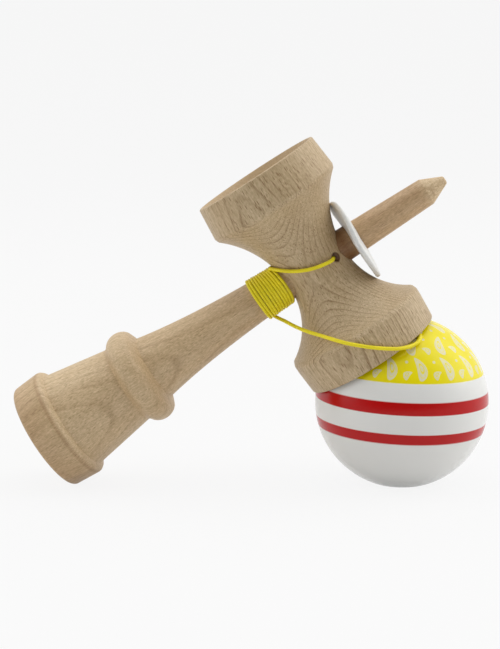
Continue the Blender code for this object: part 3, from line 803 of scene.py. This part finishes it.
def in_cell(paint, angle, rise, radius, height, count, turn):
    """Distances in millimetres across and along a row's repeating cell, from its middle."""
    width = tau * radius * cos(height / radius) / count
    place = paint.math("FRACT", paint.math("MULTIPLY_ADD", angle, count / tau, turn + count))
    return paint.times(paint.math("SUBTRACT", place, 0.5), width), paint.math("SUBTRACT", rise, height)


def drop(paint, across, along, tilt, size):
    """A leaning drop: a bent outline with a smaller drop in it."""
    length, width = size
    leaning = paint.math("MULTIPLY_ADD", along, sin(tilt), paint.times(across, cos(tilt)))
    upright = paint.math("MULTIPLY_ADD", across, -sin(tilt), paint.times(along, cos(tilt)))
    share = paint.math("DIVIDE", upright, length)
    bend = copysign(width, tilt) * DROP_BEND
    bent = paint.math("MULTIPLY_ADD", paint.times(share, share), bend, leaning)
    side = paint.math("DIVIDE", bent, paint.math("MULTIPLY_ADD", share, DROP_TAPER * width, width))
    return paint.ramp(paint.hypot(side, share), DROP_RINGS)


def satin_white(settings):
    """Soft white plastic with a faint mottle."""
    paint = new_paint("washer_plastic")
    mottle = paint.noise(paint.placed(CUP_FRAME), 0.35, 3.0)
    return paint.surface({
        "Base Color": paint.ramp(mottle, [(0.3, WASHER_GREY), (0.7, settings.white)]),
        "Roughness": 0.42,
        "Normal": paint.bump(mottle, strength=0.05, distance=0.0001),
    })


def braid(settings):
    """Fine braided cord: strands crossing both ways round it, with darker grooves between them."""
    paint = new_paint("yellow_cord")
    along, around = paint.split(paint.add("ShaderNodeUVMap", uv_map=CORD_UV).outputs["UV"])[0:2]
    turn = paint.times(around, tau * settings.strands)
    run = paint.times(along, tau * BRAID_PITCH)
    crossing = [paint.math("SINE", paint.math(way, turn, run)) for way in ("ADD", "SUBTRACT")]
    height = paint.math("MAXIMUM", *crossing)
    place = paint.add("ShaderNodeTexCoord").outputs["Object"]
    wear = paint.ramp(paint.noise(place, 160.0, 3.0), BRAID_WEAR)
    strand = paint.mix(1.0, settings.colour, wear, "MULTIPLY")
    return paint.surface({
        "Base Color": paint.mix(paint.ramp(height, BRAID_GROOVES), strand, settings.groove),
        "Roughness": 0.5,
        "Specular IOR Level": 0.3,
        "Normal": paint.bump(height, strength=0.15, distance=0.00004),
    })


def smooth_line(route, spacing):
    """Even points on a smooth curve through the given points."""
    knots = [Vector(point) for point in route]
    ends = [2 * knots[0] - knots[1], *knots, 2 * knots[-1] - knots[-2]]
    fine = []
    for before, start, stop, after in zip(ends, ends[1:], ends[2:], ends[3:]):
        for t in shares(CURVE_PARTS)[:-1]:
            fine.append(
                0.5 * (2 * start + (stop - before) * t + (2 * before - 5 * start + 4 * stop - after) * t**2
                       + (3 * start - before - 3 * stop + after) * t**3)
            )
    fine.append(knots[-1])
    lengths = [0.0]
    for a, b in zip(fine, fine[1:]):
        lengths.append(lengths[-1] + (b - a).length)
    even = []
    i = 0
    for share in shares(round(lengths[-1] / spacing)):
        wanted = lengths[-1] * share
        while i < len(fine) - 2 and lengths[i + 1] < wanted:
            i += 1
        part = (wanted - lengths[i]) / (lengths[i + 1] - lengths[i])
        even.append(fine[i].lerp(fine[i + 1], min(part, 1.0)))
    return even


def winding(settings):
    """Points of the turns on the grip, which bow towards the round waist in front and behind."""
    points = []
    for share in shares(round(settings.turns * POINTS_PER_TURN)):
        angle = tau * settings.turns * share
        bow = WINDING_BOW * (1 - share) * abs(sin(angle))
        stray = WINDING_STRAY * sum(sin(wave * angle) for wave in WINDING_WAVES)
        along = WINDING_FIRST + (WINDING_LAST - WINDING_FIRST) * share
        radius = grip_radius(BASE_TO_CROSS + along) + settings.wound_diameter / 2 + abs(stray)
        points.append(Vector((along + bow + stray, radius * sin(angle), radius * cos(angle))))
    return points[WINDING_KEPT]


def into_ball():
    """Points of the cord's bend over the mouth of the ball's hole, in the toy's frame."""
    sideways = Vector((cos(BALL_BEND_FROM), sin(BALL_BEND_FROM), 0.0))
    radii = (BALL_BEND_RADIUS, BALL_BEND_RADIUS)
    bend = arc((BALL_BEND_RADIUS, BALL_BEND_HEIGHT), radii, 90, 180, BALL_BEND_POINTS)[:-1]
    return [BALL_CENTRE + sideways * out + Vector((0.0, 0.0, up)) for out, up in bend]


def on_ball_axis(height):
    """The point on the ball's upright axis at a height."""
    return Vector((BALL_CENTRE.x, BALL_CENTRE.y, height))


def cord_line(settings, stop):
    """The cord's middle line from the knot in the handle to a height in the ball, with its thickness."""
    mouth = on_ball_axis(BALL_CENTRE.z + BALL_BEND_HEIGHT)
    last = on_ball_axis(stop)
    lead, tail = ([Vector(point) * ROUTE_UNIT for point in route] for route in (LEAD_ROUTE, TAIL_ROUTE))
    free, wound = settings.diameter, settings.wound_diameter
    stretches = ((lead, free), (winding(settings), wound), (tail, free))
    held = [(*(CUP_FRAME @ point), thick) for route, thick in stretches for point in route]
    held += [(*point, free) for point in (*into_ball(), mouth, mouth.lerp(last, 0.5), last)]
    line = smooth_line(held, CORD_POINT_SPACING)
    return [point.to_3d() for point in line], [point.w for point in line]


def tube(name, line, thickness, closed=False):
    """A tube along a line, as thick as given at each point, with a UV map along and around it."""
    shape = bmesh.new()
    uv = shape.loops.layers.uv.new(CORD_UV)
    count = len(line)
    rings, runs = [], [0.0]
    side = (line[1] - line[0]).orthogonal().normalized()
    for i, point in enumerate(line):
        before = line[i - 1] if i or closed else point
        after = line[(i + 1) % count] if i < count - 1 or closed else point
        ahead = (after - before).normalized()
        side = (side - ahead * side.dot(ahead)).normalized()
        up = ahead.cross(side)
        outward = [side * cos(tau * share) + up * sin(tau * share) for share in shares(CORD_SIDES)[:-1]]
        rings.append([shape.verts.new(point + way * thickness[i] / 2) for way in outward])
        runs.append(runs[-1] + (line[(i + 1) % count] - point).length / thickness[0])
    if closed:
        rings.append(rings[0])
    for i in range(len(rings) - 1):
        for j in range(CORD_SIDES):
            corners = ((i, j), (i, j + 1), (i + 1, j + 1), (i + 1, j))
            face = shape.faces.new([rings[row][column % CORD_SIDES] for row, column in corners])
            face.smooth = True
            for loop, (row, column) in zip(face.loops, corners):
                loop[uv].uv = (runs[row], column / CORD_SIDES)
    if not closed:
        shape.faces.new(reversed(rings[0]))
        shape.faces.new(rings[-1])
    bmesh.ops.recalc_face_normals(shape, faces=shape.faces)
    mesh = bpy.data.meshes.new(name)
    shape.to_mesh(mesh)
    shape.free()
    piece = bpy.data.objects.new(name, mesh)
    bpy.context.scene.collection.objects.link(piece)
    return piece


def knot(name, place, turn, size, diameter):
    """A tight knot: the cord laid in a three-leaved loop, drawn into a lump of the given size."""
    thick = KNOT_TIGHTNESS * diameter
    outer, inner = (share * (size[0] - thick / 2) for share in KNOT_LOOPS)
    line = []
    for share in shares(KNOT_POINTS)[:-1]:
        t = tau * share
        reach = outer + inner * cos(3 * t)
        lift = (size[1] - thick / 2) * sin(3 * t)
        line.append(place + turn @ Vector((reach * cos(2 * t), reach * sin(2 * t), lift)))
    return tube(name, line, [thick] * KNOT_POINTS, closed=True)


class TOY_OT_handle(bpy.types.Operator):
    """Turn the handle with its base cup, foot band, collar, grip and spike"""

    bl_idname = "toy.handle"
    bl_label = "Handle"

    def execute(self, context):
        on_lathe = CUP_FRAME @ Matrix.Translation((-BASE_TO_CROSS, 0, 0)) @ LATHE_TO_TIP
        handle = turned("turned_handle", handle_outline(), on_lathe)
        top = POCKET_FLOOR + grip_radius(BASE_TO_CROSS) + POCKET_RADIUS
        pocket = [(0, top), (POCKET_RADIUS, top), (POCKET_RADIUS, POCKET_FLOOR), (0, POCKET_FLOOR)]
        cut(handle, pocket, towards_viewer(CORD_HOLE_PLACE))
        dress(handle, handle_wood(context.scene.toy_beech), "handle_beech", "handle", "handle")
        return {"FINISHED"}


class TOY_OT_cross_piece(bpy.types.Operator):
    """Turn the cross piece with its two cups, bored for the handle and drilled for the cord"""

    bl_idname = "toy.cross_piece"
    bl_label = "Cross piece"

    def execute(self, context):
        cups = turned("turned_cups", cup_outline(SMALL_CUP) + cup_outline(LARGE_CUP)[-2::-1], CUP_FRAME)
        reach = LARGE_CUP.band[-1][0]
        heights = [reach - 2 * reach * share for share in shares(2 * ARC_STEPS)]
        side = [(grip_radius(BASE_TO_CROSS + height) + BORE_GAP, height) for height in heights]
        cut(cups, [(0.0, reach), *side, (0.0, -reach)], CUP_FRAME @ LATHE_TO_TIP)
        hole = [(0.0, WAIST_RADIUS), (CORD_HOLE_RADIUS, WAIST_RADIUS),
                (CORD_HOLE_RADIUS, POCKET_RADIUS), (0.0, POCKET_RADIUS)]
        cut(cups, hole, towards_viewer(CORD_HOLE_PLACE))
        surface = sqrt(WAIST_RADIUS**2 - WORN_PLACE[0]**2)
        worn = [(0.0, WAIST_RADIUS), (2 * WORN_RADIUS, WAIST_RADIUS), (WORN_RADIUS, surface),
                (WORN_KNEE * WORN_RADIUS, surface - WORN_KNEE * WORN_DEPTH), (0.0, surface - WORN_DEPTH)]
        stretch = Matrix.Diagonal((*WORN_STRETCH, 1.0, 1.0))
        cut(cups, worn, towards_viewer(WORN_PLACE) @ stretch)
        dress(cups, cup_wood(context.scene.toy_beech), "cup_beech", "handle", "cup_crosspiece")
        return {"FINISHED"}


class TOY_OT_ball(bpy.types.Operator):
    """Turn and paint the ball with its spike hole and cord hole"""

    bl_idname = "toy.ball"
    bl_label = "Ball"

    def execute(self, context):
        settings = context.scene.toy_ball
        ball = turned("lacquered_ball", ball_outline(settings.radius), Matrix.Translation(BALL_CENTRE))
        dress(ball, lacquer(settings), "ball_lacquer", "ball", "ball")
        return {"FINISHED"}


class TOY_OT_washer(bpy.types.Operator):
    """Make the soft washer on the spike"""

    bl_idname = "toy.washer"
    bl_label = "Washer"

    def execute(self, context):
        washer = turned("soft_washer", washer_outline(), Matrix.Identity(4))
        warp = washer.modifiers.new("warp", "SIMPLE_DEFORM")
        warp.deform_method = "TWIST"
        warp.deform_axis = "X"
        warp.angle = WASHER_WARP
        warp.limits = (0.0, 0.5)
        bpy.ops.object.modifier_apply(modifier=warp.name)
        set_in_place(washer, CUP_FRAME @ Matrix.Translation((WASHER_PLACE, 0, -WASHER_SAG)) @ LATHE_TO_TIP)
        dress(washer, satin_white(context.scene.toy_ball), "washer_plastic", "washer", "spike_washer")
        return {"FINISHED"}


class TOY_OT_cord(bpy.types.Operator):
    """Lay the cord from its knot in the handle, round the grip and over the ball to its bead and knot"""

    bl_idname = "toy.cord"
    bl_label = "Cord, bead and knots"

    def execute(self, context):
        settings = context.scene.toy_cord
        foot = BALL_CENTRE.z - sqrt(context.scene.toy_ball.radius**2 - FOOT_RADIUS**2)
        bead_top = foot + SPIKE_BORE_DEPTH - PIECE_GAP
        stop = bead_top - BEAD_HEIGHT - PIECE_GAP
        line, thickness = cord_line(settings, stop)
        finish = braid(settings)
        cord = tube("braided_cord", line, thickness)
        dress(cord, finish, "yellow_cord", None, "cord_lead", "cord_winding", "cord_tail", "cord_in_ball")
        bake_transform(cord)
        facing = towards_viewer(CORD_HOLE_PLACE).to_3x3()
        place = CUP_FRAME @ ANCHOR_KNOT_PLACE
        anchor = knot("first_knot", place, facing, ANCHOR_KNOT_SIZE, settings.diameter)
        dress(anchor, finish, "yellow_cord", "handle", "anchor_knot")
        place = Matrix.Translation(on_ball_axis(bead_top - BEAD_HEIGHT / 2))
        bead = turned("stop_bead", bead_outline(), place, SMALL_STEPS)
        dress(bead, bead_wood(context.scene.toy_beech), "bead_wood", "cord_end", "ball_bead")
        place = on_ball_axis(stop - STOPPER_KNOT_SIZE[1])
        last = knot("last_knot", place, Matrix.Identity(3), STOPPER_KNOT_SIZE, settings.diameter)
        dress(last, finish, "yellow_cord", "cord_end", "stopper_knot")
        return {"FINISHED"}


class TOY_OT_stage(bpy.types.Operator):
    """Set up the pale sweep, the soft lamps and the camera"""

    bl_idname = "toy.stage"
    bl_label = "Stage"

    def execute(self, context):
        settings = context.scene.toy_stage
        make_sweep(settings)
        make_world(context.scene, settings)
        make_lamps(context.scene, settings)
        make_camera(context.scene, settings)
        context.scene.view_settings.view_transform = "Standard"
        return {"FINISHED"}


def make_sweep(settings):
    """The pale floor that curves up into a backdrop."""
    half = SWEEP_SIZE / 2
    bend = arc((half - SWEEP_BEND, SWEEP_BEND), (SWEEP_BEND, SWEEP_BEND), -90, 0, SWEEP_STEPS)
    sweep = drawn("sweep", [(-half, 0.0), *bend, (half, half)])
    bpy.ops.mesh.extrude_region_move(TRANSFORM_OT_translate={"value": (0, SWEEP_SIZE, 0)})
    bpy.ops.mesh.select_all(action="SELECT")
    bpy.ops.mesh.normals_make_consistent(inside=True)
    bpy.ops.object.mode_set(mode="OBJECT")
    set_in_place(sweep, Matrix.Rotation(pi / 2, 4, "Z") @ Matrix.Translation((0, -half, 0)))
    paint = new_paint("pale_sweep")
    paint.surface({"Base Color": settings.bounce, "Roughness": 0.9})
    glow = paint.add("ShaderNodeEmission", {"Color": settings.background})
    path = paint.add("ShaderNodeLightPath").outputs
    seen = paint.math("MAXIMUM", path["Is Camera Ray"], path["Is Glossy Ray"])
    seen = paint.math("MAXIMUM", seen, path["Is Transmission Ray"])
    paint.show("Material Output", paint.times(seen, SWEEP_GLOW), paint.nodes["Principled BSDF"], glow)
    sweep.data.materials.append(paint.owner)


def make_world(scene, settings):
    """A white tent that is open towards the camera, with a plain backdrop past the sweep."""
    scene.world = bpy.data.worlds.new("studio")
    paint = Paint(scene.world)
    towards = paint.split(paint.add("ShaderNodeTexCoord").outputs["Generated"])["Y"]
    values = (towards, *TENT_OPENING, settings.opening, settings.tent)
    wall = paint.add("ShaderNodeMapRange", dict(enumerate(values)), interpolation_type="SMOOTHSTEP")
    tent = paint.nodes["Background"]
    paint.feed(tent.inputs["Color"], 1.0)
    paint.feed(tent.inputs["Strength"], wall.outputs["Result"])
    seen = paint.add("ShaderNodeBackground", {"Color": settings.background})
    camera_ray = paint.add("ShaderNodeLightPath").outputs["Is Camera Ray"]
    paint.show("World Output", camera_ray, tent, seen)


def make_lamps(scene, settings):
    """The square lamps, which face the toy."""
    for name, (place, size) in LAMPS.items():
        data = bpy.data.lights.new(name, "AREA")
        data.shape = "SQUARE"
        data.size = size
        data.energy = getattr(settings, name)
        lamp = bpy.data.objects.new(name, data)
        lamp.location = place
        lamp.rotation_euler = (LAMPS_FACE - Vector(place)).to_track_quat("-Z", "Y").to_euler()
        scene.collection.objects.link(lamp)


def make_camera(scene, settings):
    """The camera at the photograph's place, turned about its target and moved back from it."""
    data = bpy.data.cameras.new("camera")
    data.sensor_width = 36.0
    data.lens = settings.lens
    data.clip_start = 0.01
    camera = bpy.data.objects.new("camera", data)
    place = Matrix.Translation(settings.target)
    for angle, axis in ((settings.yaw, "Z"), (pi / 2 - settings.pitch, "X"), (settings.roll, "Z")):
        place = place @ Matrix.Rotation(angle, 4, axis)
    camera.matrix_world = place @ Matrix.Translation((0, 0, settings.distance))
    scene.collection.objects.link(camera)
    scene.camera = camera


class TOY_PT_panel(bpy.types.Panel):
    """Lists the pieces of the toy and the settings of their finishes"""

    bl_idname = "TOY_PT_panel"
    bl_label = "Cup-and-ball toy"
    bl_space_type = "VIEW_3D"
    bl_region_type = "UI"
    bl_category = "Toy"

    def draw(self, context):
        for operator in OPERATORS:
            self.layout.operator(operator.bl_idname)
        for name, group in SETTINGS.items():
            box = self.layout.box()
            for key in group.__annotations__:
                box.prop(getattr(context.scene, name), key)


SETTINGS = {
    "toy_beech": BeechSettings,
    "toy_ball": BallSettings,
    "toy_cord": CordSettings,
    "toy_stage": StageSettings,
}
OPERATORS = (TOY_OT_handle, TOY_OT_cross_piece, TOY_OT_ball, TOY_OT_washer, TOY_OT_cord, TOY_OT_stage)
CLASSES = (*SETTINGS.values(), *OPERATORS, TOY_PT_panel)


def register():
    """Adds the settings, the operators and the panel."""
    for cls in CLASSES:
        bpy.utils.register_class(cls)
    for name, cls in SETTINGS.items():
        setattr(bpy.types.Scene, name, PointerProperty(type=cls))


def unregister():
    """Removes the panel, the operators and the settings."""
    for name in SETTINGS:
        delattr(bpy.types.Scene, name)
    for cls in reversed(CLASSES):
        bpy.utils.unregister_class(cls)


def main():
    """Makes every piece and the stage."""
    register()
    bpy.ops.toy.handle()
    bpy.ops.toy.cross_piece()
    bpy.ops.toy.ball()
    bpy.ops.toy.washer()
    bpy.ops.toy.cord()
    bpy.ops.toy.stage()


if __name__ == "__main__":
    main()
